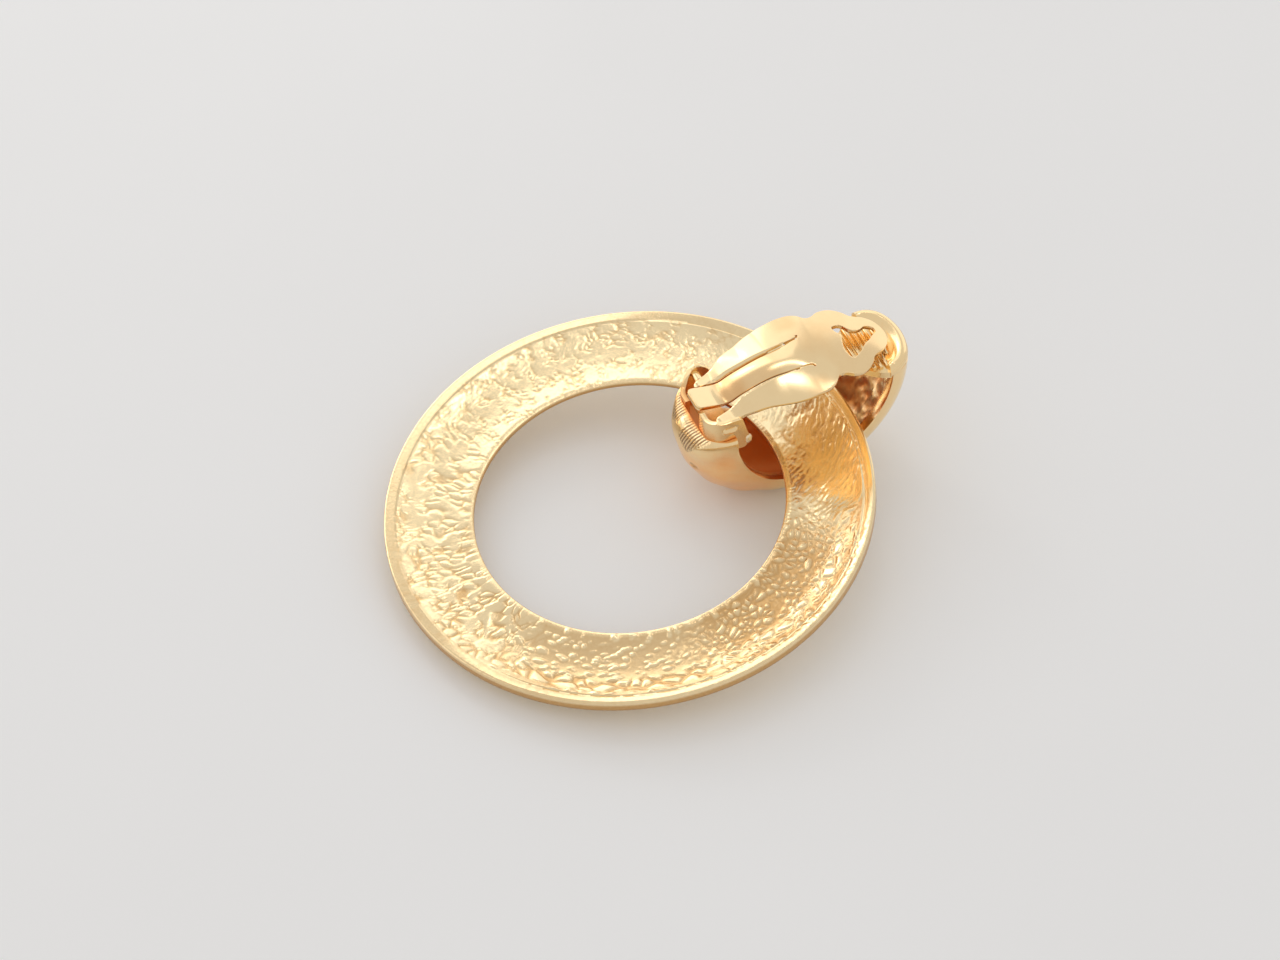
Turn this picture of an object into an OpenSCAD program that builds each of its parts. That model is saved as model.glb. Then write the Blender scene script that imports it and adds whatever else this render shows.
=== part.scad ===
// Double hoop clip earring, lying on its face: a broad flat hoop hangs loose in a C-shaped half hoop,
// whose open back is closed by a sprung clip paddle hinged in a bracket set in its lower mouth.
// All sizes are in millimetres. X runs across the clip, Y along it towards the top of the earring, Z up.

/* [Large hoop] */
// Outside diameter of the large hoop
hoop_d = 50; // [40:0.5:60]
// Diameter of its hole
hole_d = 31.74; // [24:0.1:40]
// How far the inner rim lies below the outer lip
inner_drop = 0.72; // [0:0.01:1.5]
// Radius of the rounded outer lip
lip_r = 0.65; // [0.3:0.05:1]
// Depth of the front dome below the outer lip
dome_h = 3.3; // [2:0.05:5]
// Depth of the trough in the back
trough_h = 1.35; // [0.4:0.05:2]
// Tilt of the hoop where it rests on the half hoop
hoop_tilt = 7.2; // [0:0.1:15]
// Direction in which it is lifted, turned from Y
hoop_turn = 10; // [-45:1:45]
// Centre of the hoop across the clip
hoop_x = 2.92; // [-5:0.01:5]
// Centre of the hoop along the clip, from the end of the spring tongue
hoop_y = -8.3; // [-12:0.1:0]

/* [Half hoop] */
// Width of the shell at the front and the hinge end
shell_w = 10.8; // [8:0.1:14]
// Width of the shell at the grip end
tip_w = 9.2; // [7:0.1:12]
// Wall of the shell
shell_wall = 1.1; // [0.8:0.05:2]
// Lowest point of the shell, from the end of the spring tongue
front_y = 9.2; // [8:0.1:12]
// From the lowest point back to the crown of the hinge end
low_reach = 10.8; // [8:0.1:14]
// Height of the crown's widest point at the hinge end
low_rise = 9.6; // [7:0.1:12]
// From the lowest point forward to the crown of the grip end
high_reach = 14.2; // [10:0.1:18]
// Height of the crown's widest point at the grip end
high_rise = 13.7; // [10:0.1:16]
// Depth of the channel at the front
channel_h = 4.2; // [3:0.1:5]
// Depth of the channel at the grip end
tip_h = 3.1; // [2:0.1:5]
// Height of the ledge at the hinge end
ledge_z = 12; // [11:0.1:14]

/* [Grip pad] */
// Height of the crest round the grip end
crest_z = 14.85; // [14:0.05:16]
// Height of the ridge tops
ridge_z = 14.3; // [13:0.05:15]
// Distance from ridge to ridge
ridge_pitch = 0.65; // [0.4:0.05:1]
// Number of ridges
ridges = 8; // [4:1:12]

/* [Hinge bracket] */
// Distance between the ears
ear_gap = 8; // [7:0.1:10]
// Thickness of the bent plate
plate_t = 0.5; // [0.4:0.05:1]
// Distance of the pivot from the end of the spring tongue
pivot_y = 2.15; // [1:0.05:4]
// Height of the pivot
pivot_z = 13.4; // [12:0.1:15]
// Radius of the pivot studs
pivot_r = 0.35; // [0.2:0.05:0.6]

/* [Clip paddle] */
// Thickness of the sprung leaf
leaf_t = 0.55; // [0.3:0.05:0.8]
// Greatest width of the leaf
leaf_w = 11.2; // [8:0.1:13]
// Width of the spring tongue
tongue_w = 2.8; // [2:0.1:4]
// Clearance of the pivot studs in the ears
play = 0.08; // [0.02:0.01:0.1]

/* [Hidden] */
$fn = 96;
hoop_r = hoop_d / 2;
hole_r = hole_d / 2;
// Front dome of the large hoop as one arc across the band
band_mid = (hoop_r + hole_r) / 2;
band_half = (hoop_r - hole_r) / 2;
side_h = 1.15;
dome_sag = dome_h - side_h;
dome_r = (band_half * band_half + dome_sag * dome_sag) / (2 * dome_sag);
dome_c = dome_r - dome_h;
// Trough in the back as one arc between the lip and the inner rim
trough_out = hoop_r - 2 * lip_r;
trough_in = hole_r + 0.35;
trough_mid = (trough_out + trough_in) / 2;
trough_half = (trough_out - trough_in) / 2;
trough_r = (trough_half * trough_half + trough_h * trough_h) / (2 * trough_h);
trough_c = trough_r - trough_h - inner_drop / 2 - 0.15;
// The hoop's dome just touches the ground on its low side
hoop_z = band_mid * sin(hoop_tilt) - dome_c * cos(hoop_tilt) + dome_r;
// Grip end seen from above
rim_y = front_y + high_reach - tip_h;
ear_x = ear_gap / 2;
// Floor of the bracket, the back of its end wall and the bend between that and the ears
floor_z = 10.2;
wall_y = 0.05;
bend_r = 2;
bend_x = ear_x + plate_t - bend_r;
bend_y = wall_y + bend_r;
// Half the notch in the end wall that lets the spring tongue through
notch_x = 1.7;
// The middle of the whole part seen from above
hoop_reach = hoop_r * sqrt(pow(cos(hoop_tilt) * cos(hoop_turn), 2) + pow(sin(hoop_turn), 2))
    - lip_r * sin(hoop_tilt) * cos(hoop_turn);
mid_x = hoop_x - lip_r * sin(hoop_tilt) * sin(hoop_turn);
mid_y = (hoop_y - hoop_reach + front_y + high_reach) / 2;

// Large hoop: a cast band with a domed front, a trough in the back and a rounded outer lip

module band_profile() {
    difference() {
        union() {
            intersection() {
                translate([band_mid, dome_c])
                    circle(r = dome_r);
                polygon([
                    [hole_r, -dome_h - 1],
                    [hole_r, -inner_drop],
                    [hoop_r - lip_r, -0.08],
                    [hoop_r - lip_r, -lip_r],
                    [hoop_r, -lip_r],
                    [hoop_r, -dome_h - 1]
                ]);
            }
            translate([hoop_r - lip_r, -lip_r])
                circle(r = lip_r);
        }
        translate([trough_mid, trough_c])
            circle(r = trough_r);
    }
}

module large_hoop() {
    color("goldenrod")
        translate([hoop_x, hoop_y, hoop_z])
            rotate([0, 0, hoop_turn])
                rotate([hoop_tilt, 0, 0])
                    rotate_extrude()
                        band_profile();
}

// Half hoop: a domed shell swept along a C, open towards the inside of the C

// Crown and rim of the shell at t, from -1 at the hinge end through 0 at the front to 1 at the grip end
function crown(t) =
    t < 0
        ? [front_y + low_reach * sin(t * 102), low_rise * (1 - cos(t * 102))]
        : [front_y + high_reach * sin(t * 90), high_rise * (1 - cos(t * 90))];
function rim(t) =
    t < 0
        ? [front_y + 6.35 * sin(t * 90), ledge_z - (ledge_z - channel_h) * cos(t * 90)]
        : [front_y + (high_reach - tip_h) * sin(t * 90),
           high_rise + 0.4 - (high_rise + 0.4 - channel_h) * cos(t * 90)];
function half_w(t) = (shell_w - max(0, t) * (shell_w - tip_w)) / 2;

steps = 36;
arcs = 24;
function at(i) = -1 + 2 * i / steps;

// One side of the wall at t: a full half oval from rim to rim over the crown
function dome(t, inset) =
    let (r = rim(t), d = crown(t) - r, w = half_w(t) - inset, h = 1 - inset / norm(d))
    [for (j = [0 : arcs])
        let (a = 180 * j / arcs, k = h * pow(sin(a), 0.9))
        [w * cos(a), r[0] + d[0] * k, r[1] + d[1] * k]];

function ring(t) =
    let (outside = dome(t, 0), inside = dome(t, shell_wall))
    concat(outside, [for (j = [arcs : -1 : 0]) inside[j]]);

module shell() {
    n = 2 * (arcs + 1);
    polyhedron(
        points = [for (i = [0 : steps]) each ring(at(i))],
        faces = concat(
            [[for (j = [0 : n - 1]) j]],
            [[for (j = [n - 1 : -1 : 0]) steps * n + j]],
            [for (i = [0 : steps - 1]) for (j = [0 : n - 1])
                let (k = (j + 1) % n)
                [i * n + j, (i + 1) * n + j, (i + 1) * n + k]],
            [for (i = [0 : steps - 1]) for (j = [0 : n - 1])
                let (k = (j + 1) % n)
                [i * n + j, (i + 1) * n + k, i * n + k]]
        )
    );
}

function crest_point(a) = [
    (tip_w - shell_wall) / 2 * cos(a),
    rim_y + (tip_h - shell_wall / 2) * sin(a),
    crest_z - shell_wall / 2
];

module crest() {
    bead = 12;
    for (i = [0 : bead - 1])
        hull()
            for (k = [i, i + 1])
                translate(crest_point(180 * k / bead)) {
                    sphere(r = shell_wall / 2, $fn = 16);
                    translate([0, 0, -0.9])
                        cylinder(r = shell_wall / 2, h = 0.5, $fn = 16);
                }
}

module pad_outline(grow) {
    intersection() {
        translate([0, rim_y])
            scale([tip_w / 2 - shell_wall + grow, tip_h - shell_wall + grow + 0.2])
                circle(r = 1);
        translate([-10, rim_y])
            square([20, 10]);
    }
    intersection() {
        translate([0, rim_y])
            circle(r = 3.9 + grow);
        translate([-tip_w / 2 + 0.2, rim_y - 5])
            square([tip_w - 0.4, 5.1]);
    }
}

module grip_pad() {
    base_z = ridge_z - 0.35;
    translate([0, 0, base_z - 0.9])
        linear_extrude(0.9)
            pad_outline(0.3);
    intersection() {
        translate([0, 0, base_z - 0.1])
            linear_extrude(0.5)
                pad_outline(-0.2);
        for (i = [0 : ridges - 1])
            translate([-5, rim_y - 3.6 + i * ridge_pitch, base_z - 0.1])
                cube([10, ridge_pitch * 0.55, 0.45]);
    }
}

// Room for the bracket in the mouth of the hinge end
module bracket_seat() {
    gap = 0.04;
    translate([0, 0, floor_z - gap])
        linear_extrude(10) {
            for (s = [-1, 1])
                translate([s * bend_x, bend_y])
                    circle(r = bend_r + gap);
            translate([-bend_x, wall_y - gap])
                square([2 * bend_x, 8]);
            translate([-bend_x - bend_r - gap, bend_y])
                square([2 * (bend_x + bend_r + gap), 6]);
        }
}

module half_hoop() {
    color("gold")
        difference() {
            union() {
                shell();
                crest();
                grip_pad();
            }
            bracket_seat();
        }
}

// Hinge bracket: a bent plate with two upright ears, set in the mouth of the half hoop

// Ears seen along the pivot: the outer one is squarer, the inner one is arched
square_ear = [
    [-0.2, floor_z - 0.1], [-0.2, 13.9], [0.8, 14.3], [2.4, 14.4], [3.3, 14.4], [3.6, 14.15],
    [4, 12.8], [4.6, 10.9], [4.3, 10.45], [3.8, floor_z - 0.1]
];
arched_ear = [
    [-0.2, floor_z - 0.1], [-0.2, 12.3], [0.7, 12.6], [1.1, 13.3], [1.6, 13.95], [2.2, 14.3],
    [2.8, 14.2], [3.35, 13.8], [3.85, 13.2], [4.1, 12.5], [4.2, 11.6], [4.1, 10.6], [3.8, floor_z - 0.1]
];

module upright(x, t) {
    translate([x, 0, 0])
        rotate([90, 0, 90])
            linear_extrude(t)
                children();
}

// One ear with its half of the end wall
module ear(outline) {
    difference() {
        union() {
            intersection() {
                union() {
                    translate([ear_x, bend_y, floor_z])
                        cube([plate_t, 2.8, 5]);
                    translate([bend_x, bend_y, floor_z])
                        rotate([0, 0, -90])
                            rotate_extrude(angle = 90)
                                translate([bend_r - plate_t, 0])
                                    square([plate_t, 5]);
                    translate([notch_x, wall_y, floor_z])
                        cube([bend_x - notch_x, plate_t, 5]);
                }
                upright(0, 6)
                    polygon(outline);
            }
            // Raised dimple outside the ear, over the pivot
            translate([ear_x + plate_t / 2 + 0.125, pivot_y, pivot_z])
                rotate([0, 90, 0])
                    cylinder(r = 0.7, h = plate_t + 0.25, center = true);
        }
        translate([ear_x + 0.075, pivot_y, pivot_z])
            rotate([0, 90, 0])
                cylinder(r = pivot_r + play, h = 0.75, center = true);
    }
}

module hinge_bracket() {
    color("darkkhaki") {
        ear(square_ear);
        mirror([1, 0, 0])
            ear(arched_ear);
        // Floor between the ears and the two halves of the end wall
        translate([-ear_x - 0.1, 1.2, floor_z])
            cube([ear_gap + 0.2, 2.5, plate_t]);
        translate([-bend_x + 0.1, wall_y + 0.25, floor_z])
            cube([2 * bend_x - 0.2, 1.2, plate_t]);
    }
}

// Clip paddle: an arched leaf with a spring tongue between two slots, a clover head and two pivot arms

knots = [
    [0, 14.5], [1.6, 14.08], [3, 13.95], [5, 14.95], [8, 15.9],
    [11, 16.25], [13.5, 16.2], [16, 16.0], [19, 15.7], [21.8, 15.5]
];

function knot(i) = knots[max(0, min(len(knots) - 1, i))];
function smooth(i, t) =
    let (a = knot(i - 1), b = knot(i), c = knot(i + 1), d = knot(i + 2))
    0.5 * ((2 * b) + (c - a) * t + (2 * a - 5 * b + 4 * c - d) * t * t
        + (3 * b - a - 3 * c + d) * t * t * t);

leaf_curve = concat(
    [for (i = [0 : len(knots) - 2]) for (t = [0, 0.25, 0.5, 0.75]) smooth(i, t)],
    [knot(len(knots) - 1)]
);

module leaf_band() {
    n = len(leaf_curve);
    upright(-10, 20)
        polygon(concat(
            leaf_curve,
            [for (i = [n - 1 : -1 : 0]) leaf_curve[i] - [0, leaf_t]]
        ));
}

module blade_outline() {
    big_r = 16.4;
    intersection() {
        translate([leaf_w / 2 - big_r, 11.4])
            circle(r = big_r);
        translate([big_r - leaf_w / 2, 11.4])
            circle(r = big_r);
        translate([-8, 4.6])
            square([16, 8]);
    }
    intersection() {
        translate([leaf_w / 2 - big_r, 11.4])
            circle(r = big_r);
        translate([big_r - leaf_w / 2, 11.4])
            circle(r = big_r);
        translate([0, 10])
            circle(r = 6.6);
        translate([-8, 12])
            square([16, 8]);
    }
}

module arm_outline() {
    polygon([
        [2.8, 1.8], [3.72, 1.8], [3.84, 2.4], [3.9, 3.9],
        [4.2, 4.8], [4.1, 6.4], [2.4, 6.4], [2.0, 4.7]
    ]);
    translate([3.26, 1.82])
        circle(r = 0.48);
}

module slot_outline() {
    t = tongue_w / 2;
    polygon([
        [t, -1], [t, 8], [t + 0.12, 10], [t + 0.4, 12.2], [t + 0.72, 12.5],
        [t + 0.85, 12.3], [t + 0.65, 12.0], [t + 0.42, 10], [t + 0.3, 8],
        [t + 0.3, 5.4], [2.7, 1.2], [2.7, -1]
    ]);
}

module clover_hole() {
    for (s = [-1, 1])
        translate([s * 1.6, 17.05])
            circle(r = 0.8);
    translate([0, 19.8])
        circle(r = 0.8);
    polygon([
        [-1.5, 16.5], [1.5, 16.5], [1.9, 17.5], [0.95, 18.5], [0.6, 19.6],
        [-0.6, 19.6], [-0.95, 18.5], [-1.9, 17.5]
    ]);
}

module leaf_outline() {
    difference() {
        union() {
            blade_outline();
            translate([-tongue_w / 2 - 0.15, 0])
                square([tongue_w + 0.3, 7]);
            for (s = [0, 1])
                mirror([s, 0])
                    arm_outline();
            for (s = [-1, 1])
                translate([s * 2.6, 16.6])
                    circle(r = 2.1);
            translate([0, 18.85])
                circle(r = 2.75);
        }
        for (s = [0, 1])
            mirror([s, 0])
                slot_outline();
        clover_hole();
    }
}

module clip_paddle() {
    color("khaki") {
        intersection() {
            translate([0, 0, 12])
                linear_extrude(6)
                    leaf_outline();
            leaf_band();
        }
        // Rolled arm ends with the studs that turn in the ears
        for (s = [-1, 1]) {
            translate([s * 3.35, pivot_y, pivot_z])
                rotate([0, 90, 0])
                    cylinder(r = 0.55, h = 1.05, center = true);
            translate([s * (3.35 + ear_x + 0.4) / 2, pivot_y, pivot_z])
                rotate([0, 90, 0])
                    cylinder(r = pivot_r, h = ear_x + 0.4 - 3.35, center = true);
        }
    }
}

translate([-mid_x, -mid_y, 0]) {
    large_hoop();
    half_hoop();
    hinge_bracket();
    clip_paddle();
}
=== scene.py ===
# %% [markdown]
# # Double hoop clip earring
# A broad flat hoop hangs loose in a C-shaped half hoop. A sprung clip paddle closes the back of the
# C, on two pivots in a small bent bracket. The earring lies on its face, so what shows is its back:
# the hammered trough of the large hoop, the clip and the hollow inside of the half hoop.

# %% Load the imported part
import math

import bmesh
import bpy
from mathutils import Matrix, Vector, noise


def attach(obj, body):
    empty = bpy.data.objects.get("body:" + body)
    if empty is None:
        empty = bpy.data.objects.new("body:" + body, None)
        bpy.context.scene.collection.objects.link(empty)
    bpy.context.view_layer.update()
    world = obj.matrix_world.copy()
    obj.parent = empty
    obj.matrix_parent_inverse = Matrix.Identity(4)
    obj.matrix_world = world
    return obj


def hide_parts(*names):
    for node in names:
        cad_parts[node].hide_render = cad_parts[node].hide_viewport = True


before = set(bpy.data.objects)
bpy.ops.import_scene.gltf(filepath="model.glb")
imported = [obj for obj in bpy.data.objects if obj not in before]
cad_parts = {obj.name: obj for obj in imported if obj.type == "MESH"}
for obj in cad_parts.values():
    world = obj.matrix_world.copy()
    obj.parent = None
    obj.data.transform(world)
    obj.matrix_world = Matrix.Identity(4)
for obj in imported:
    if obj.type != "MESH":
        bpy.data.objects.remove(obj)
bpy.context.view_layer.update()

# %% [markdown]
# ## Working frame
# The pieces are drawn in millimetres round the clip: X runs across the paddle, Y along it from the
# end of the spring tongue, and Z up. One matrix takes a finished mesh to the part's own frame in
# metres, whose origin lies under the middle of the whole earring, so that every object stays at
# the origin, unturned and unscaled.

# %% Working frame
MM = 0.001
MIDDLE = Vector((2.906, -4.814, 0))
TO_PART = Matrix.Scale(MM, 4) @ Matrix.Translation(-MIDDLE)


def finish_piece(bm, name, body, nodes=(), smooth_under=35):
    """Closes the drawing of a piece: faces point outwards, the mesh goes to the part's frame."""
    bmesh.ops.recalc_face_normals(bm, faces=bm.faces)
    bmesh.ops.transform(bm, matrix=TO_PART, verts=bm.verts)
    limit = math.radians(smooth_under)
    for face in bm.faces:
        face.smooth = True
    for edge in bm.edges:
        edge.smooth = len(edge.link_faces) == 2 and edge.calc_face_angle(0) < limit
    mesh = bpy.data.meshes.new(name)
    bm.to_mesh(mesh)
    bm.free()
    piece = bpy.data.objects.new(name, mesh)
    bpy.context.scene.collection.objects.link(piece)
    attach(piece, body)
    if nodes:
        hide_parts(*nodes)
    print(name, "has", sum(len(p.vertices) - 2 for p in mesh.polygons), "triangles")
    return piece


def smoothstep(low, high, x):
    """0 below low, 1 above high and a soft step between them; low may be the larger one."""
    x = min(1.0, max(0.0, (x - low) / (high - low)))
    return x * x * (3 - 2 * x)


def mark(bm, name):
    """A number kept on every point, for a finish that follows the shape."""
    return bm.verts.layers.float.get(name) or bm.verts.layers.float.new(name)


print("middle of the part in mm:", MIDDLE[:])

# %% [markdown]
# ## Large hoop, section
# The hoop is one casting: a front domed by 3.3 mm, a trough in the back, a thin rim round the hole
# and outside a lip that leans inwards. Its section is made of arcs. Spinning a single point round
# the centre of an arc draws it in even steps, which is what keeps the later relief even.

# %% Section of the large hoop
HOOP_R, HOLE_R, LIP_R, RIM_R = 25.0, 15.87, 0.25, 0.15
BAND_MIDDLE, TROUGH_MIDDLE, TROUGH_HALF = 20.435, 19.96, 3.74
# Each circle is given by its centre's X and Z and by its radius
DOME, DOME_END = (BAND_MIDDLE, 2.621, 5.921), 39.56
TROUGH = (TROUGH_MIDDLE, 3.996, 5.856)
RIM = (HOLE_R + RIM_R, -0.87, RIM_R)
LEAN = (25.096, -2.171, 2.2)
ROLL = (HOOP_R - LIP_R, -LIP_R, LIP_R)


def arc(bm, circle, start, stop, steps):
    """Points on an arc in the XZ plane, drawn by spinning one point; angles in degrees."""
    x, z, radius = circle
    a = math.radians(start)
    point = bm.verts.new((x + radius * math.cos(a), 0, z + radius * math.sin(a)))
    made = bmesh.ops.spin(
        bm, geom=[point], cent=(x, 0, z), axis=(0, -1, 0),
        angle=math.radians(stop - start), steps=steps, use_merge=False, use_duplicate=False,
    )
    last = [g for g in made["geom_last"] if isinstance(g, bmesh.types.BMVert)][0]
    return point, last


hoop = bmesh.new()
parts = [
    arc(hoop, RIM, 180, 90, 3),
    arc(hoop, TROUGH, -126.6, -50.2, 64),
    arc(hoop, LEAN, 125.5, 101.4, 4),
    arc(hoop, ROLL, 101, 0, 4),
    arc(hoop, DOME, -DOME_END, DOME_END - 180, 14),
]
joins = [hoop.edges.new((end, start)) for (_, end), (start, _) in zip(parts, parts[1:] + parts[:1])]
side_wall = joins[3]
bmesh.ops.subdivide_edges(hoop, edges=[side_wall], cuts=2)
print("section points:", len(hoop.verts))

# %% [markdown]
# ## Large hoop, band
# The section is spun round the hole in steps as long as the trough's own steps, about 0.12 mm, so
# that creases a few tenths of a millimetre wide can be sunk from real points. Spinning a sixteenth
# and doubling it four times is much faster than one long spin; the seams are then merged.

# %% Spin the band
HOOP_STEPS, DOUBLINGS = 1008, 4
wedges = 2**DOUBLINGS
bmesh.ops.spin(
    hoop, geom=hoop.verts[:] + hoop.edges[:], cent=(0, 0, 0), axis=(0, 0, 1),
    angle=math.tau / wedges, steps=HOOP_STEPS // wedges, use_merge=False, use_duplicate=False,
)
for doubling in range(DOUBLINGS):
    copy = bmesh.ops.duplicate(hoop, geom=hoop.verts[:] + hoop.edges[:] + hoop.faces[:])["geom"]
    bmesh.ops.rotate(
        hoop, cent=(0, 0, 0), matrix=Matrix.Rotation(math.tau / wedges * 2**doubling, 3, "Z"),
        verts=[g for g in copy if isinstance(g, bmesh.types.BMVert)],
    )
bmesh.ops.remove_doubles(hoop, verts=hoop.verts, dist=0.001)
bmesh.ops.recalc_face_normals(hoop, faces=hoop.faces)
print("band points:", len(hoop.verts))

# %% [markdown]
# ## Large hoop, noise on the band
# The hammered back is too irregular to draw by hand, and a bump in the finish would leave the mesh
# plain. So the points are moved by noise, read on a cylinder round the hoop, which has no seam.
# It can be stretched along or across the band; sizes are those of one lump in mm.

# %% Noise on the band
TURN_TO_PICTURE = math.radians(-56)
NOISE_R = 20


def on_band(turn, radius, along_mm, across_mm, seed, slant=0.0):
    """A place on the band as a point to read noise at."""
    turn = turn + slant * (radius - NOISE_R) / NOISE_R
    r = NOISE_R / along_mm
    return Vector((r * math.cos(turn), r * math.sin(turn), radius / across_mm + seed))


def cells(place, crease=0.22):
    """Packed lumps with narrow creases: 0 in a crease, 1 on top of a lump."""
    near = noise.voronoi(place)[0]
    return smoothstep(0.0, crease, near[1] - near[0]) * (1.15 - 0.6 * near[0])


def beads(place):
    """Single rounded bumps, one to each cell, some of them worn away."""
    near = noise.voronoi(place)[0]
    return (1 - smoothstep(0.15, 0.52, near[0])) * smoothstep(-0.65, -0.25, noise.noise(place * 0.6))


def worn_off(place, low, high):
    """Where the pattern is left, 1, and where it is worn away, 0."""
    return smoothstep(low, high, noise.noise(place))


def window(turn, start, stop, fade=14):
    """1 between two places of the hoop as the picture shows it, in degrees, fading to 0 outside."""
    middle, half = (start + stop) / 2, (stop - start) / 2
    away = abs((math.degrees(turn) - middle + 180) % 360 - 180)
    return 1 - smoothstep(half - fade / 2, half + fade / 2, away)


print("noise on a cylinder of radius", NOISE_R)

# %% [markdown]
# ## Large hoop, kinds of relief
# The cast pattern changes on its way round. On the left it is packed with long radial lumps. At
# the top the lumps are finer and half worn away. At the bottom low bumps stand on smooth ground,
# with one row of stout lumps along the outer edge. At the lower right small lumps crowd together,
# and under the paddle fine streaks and flecks slant across. Each kind gives a height in mm and how
# dark a place is painted as shade, most of all in its creases.


# %% Kinds of relief
def edge_row(radius):
    """1 in the row of stout lumps along the outer edge, 0 beside it."""
    return smoothstep(21.3, 21.7, radius) * (1 - smoothstep(22.9, 23.2, radius))


def packed_lumps(turn, radius):
    worn = worn_off(on_band(turn, radius, 1.3, 1.6, 14.0), -0.35, 0.25)
    low = worn * (1 - cells(on_band(turn, radius, 0.75, 1.35, 3.1, slant=0.2), 0.26))
    swell = noise.noise(on_band(turn, radius, 1.0, 1.3, 5.0))
    return 0.022 * swell - 0.09 * low, 0.75 * low - 0.12 * swell


def worn_lumps(turn, radius):
    worn = worn_off(on_band(turn, radius, 1.1, 1.2, 14.0), -0.2, 0.3)
    low = worn * (1 - cells(on_band(turn, radius, 0.62, 0.62, 9.7), 0.22))
    swell = noise.noise(on_band(turn, radius, 0.8, 0.8, 4.0))
    return 0.010 * swell - 0.045 * low, 0.55 * low - 0.10 * swell


def bumps_and_row(turn, radius):
    row = edge_row(radius)
    blob = beads(on_band(turn, radius, 1.05, 0.62, 7.9, slant=0.3))
    stout = cells(on_band(turn, radius, 1.5, 1.05, 2.2), 0.3)
    height = (1 - row) * 0.15 * blob + row * (0.16 * stout - 0.08)
    return height, (1 - row) * 0.48 * (1 - blob) + row * 0.9 * (1 - stout)


def crowded_lumps(turn, radius):
    row = edge_row(radius)
    crowd = cells(on_band(turn, radius, 0.9, 0.72, 6.1, slant=0.3), 0.48)
    stout = cells(on_band(turn, radius, 1.3, 1.0, 2.2), 0.3)
    height = (1 - row) * (0.18 * crowd - 0.10) + row * (0.13 * stout - 0.05)
    return height, (1 - row) * (0.26 + 0.65 * (1 - crowd)) + row * 0.6 * (1 - stout)


def slanting_streaks(turn, radius):
    streak = noise.noise(on_band(turn, radius, 0.42, 1.1, 8.0, slant=-1.3))
    streak += 0.5 * noise.noise(on_band(turn, radius, 0.3, 0.4, 18.0, slant=-1.3))
    worn = worn_off(on_band(turn, radius, 1.2, 1.2, 15.0), -0.1, 0.3)
    low = worn * (1 - cells(on_band(turn, radius, 0.55, 0.8, 5.3, slant=-0.9), 0.3))
    return 0.028 * streak - 0.025 * low, 0.02 - 0.3 * streak + 0.3 * low


# Start and stop in the picture in degrees, strength, what the lower left adds to it, kind
STRETCHES = [
    (146, 236, 0.7, 0.4, packed_lumps),
    (62, 146, 1.0, 0.0, worn_lumps),
    (236, 294, 1.0, 0.0, bumps_and_row),
    (294, 348, 1.0, 0.0, crowded_lumps),
    (348, 422, 1.0, 0.0, slanting_streaks),
]
print("kinds of relief:", [kind.__name__ for *_, kind in STRETCHES])

# %% [markdown]
# ## Large hoop, relief of the back
# Each point first wanders a little, so that no pattern looks ruled, and then takes the relief of
# its stretch. The trough is filled up to a flatter band, most of all on the left and at the top,
# where the lip is levelled too. Shade is painted in as a darker tone: in the creases, on part of
# the lip, low on the wall outside the lip and on the edge of the hole.

# %% Relief of the back
STRETCH_FADE = 24
WANDERS = ((2.5, 0.7), (0.9, 0.14))
LIP_EDGE, WALL_EDGE, HOLE_EDGE = 23.68, 24.7, 16.25
LIP_LEVEL = -0.03


def hoop_relief(turn, radius):
    """Height of the relief in mm, and how dark a place is painted as shade, 0 to 1."""
    seen = turn + TURN_TO_PICTURE
    lower_left = window(seen, 196, 250, 40)
    for size, pull in WANDERS:
        place = on_band(turn, radius, size, size, 20)
        turn = turn + pull / NOISE_R * noise.noise(place)
        radius = radius + pull / 2 * noise.noise(place + Vector((7, 3, 1)))
    height = crease = 0.0
    for start, stop, strength, more, kind in STRETCHES:
        share = window(seen, start, stop, STRETCH_FADE) * (strength + more * lower_left)
        if share > 0:
            up, dark = kind(turn, radius)
            height += share * up
            crease += share * dark
    return height, min(1.0, max(0.0, crease))


def fill_of_trough(radius):
    """How far the flatter band of the real hoop lies above the plain trough, in mm."""
    arch = max(0.0, 1 - ((radius - TROUGH_MIDDLE) / TROUGH_HALF) ** 2)
    flat_band = -0.66 + 0.078 * (radius - 16.4) - 0.12 * arch
    off_middle = min(radius, TROUGH_MIDDLE + TROUGH_HALF) - TROUGH_MIDDLE
    return flat_band - (TROUGH[1] - math.sqrt(TROUGH[2] ** 2 - off_middle**2))


painted_shade = mark(hoop, "painted_shade")
for v in hoop.verts:
    radius = math.hypot(v.co.x, v.co.y)
    if radius > 16.1 and v.normal.z > 0.2 and v.co.z > -2.2:
        turn = math.atan2(v.co.y, v.co.x)
        seen = turn + TURN_TO_PICTURE
        on_lip = smoothstep(LIP_EDGE, 23.8, radius)
        fade = smoothstep(16.15, 16.6, radius) * (1 - 0.75 * on_lip)
        height, crease = hoop_relief(turn, radius)
        v.co += v.normal * (height * fade)
        # Painted shade: darker in the creases and on part of the lip
        v[painted_shade] = crease * fade + 0.2 * on_lip * window(seen, 60, 260, 30)
        filled = (0.5 + 0.4 * window(seen, 62, 226, 46)) * (1 - on_lip) * smoothstep(16.2, 16.6, radius)
        v.co.z += filled * fill_of_trough(radius)
        level = window(seen, 80, 230, 40) * on_lip * (1 - smoothstep(WALL_EDGE, 24.8, radius))
        v.co.z += level * (LIP_LEVEL - v.co.z)
    # Painted shade: darker low on the outer wall and on the edge of the hole
    if radius > WALL_EDGE:
        v[painted_shade] = max(v[painted_shade], 0.95 * smoothstep(-0.2, -0.6, v.co.z))
    if radius < HOLE_EDGE and v.co.z > -1.2:
        v[painted_shade] = 0.25 + 0.7 * smoothstep(-0.72, -0.86, v.co.z)
print("relief raised on the back")

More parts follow.
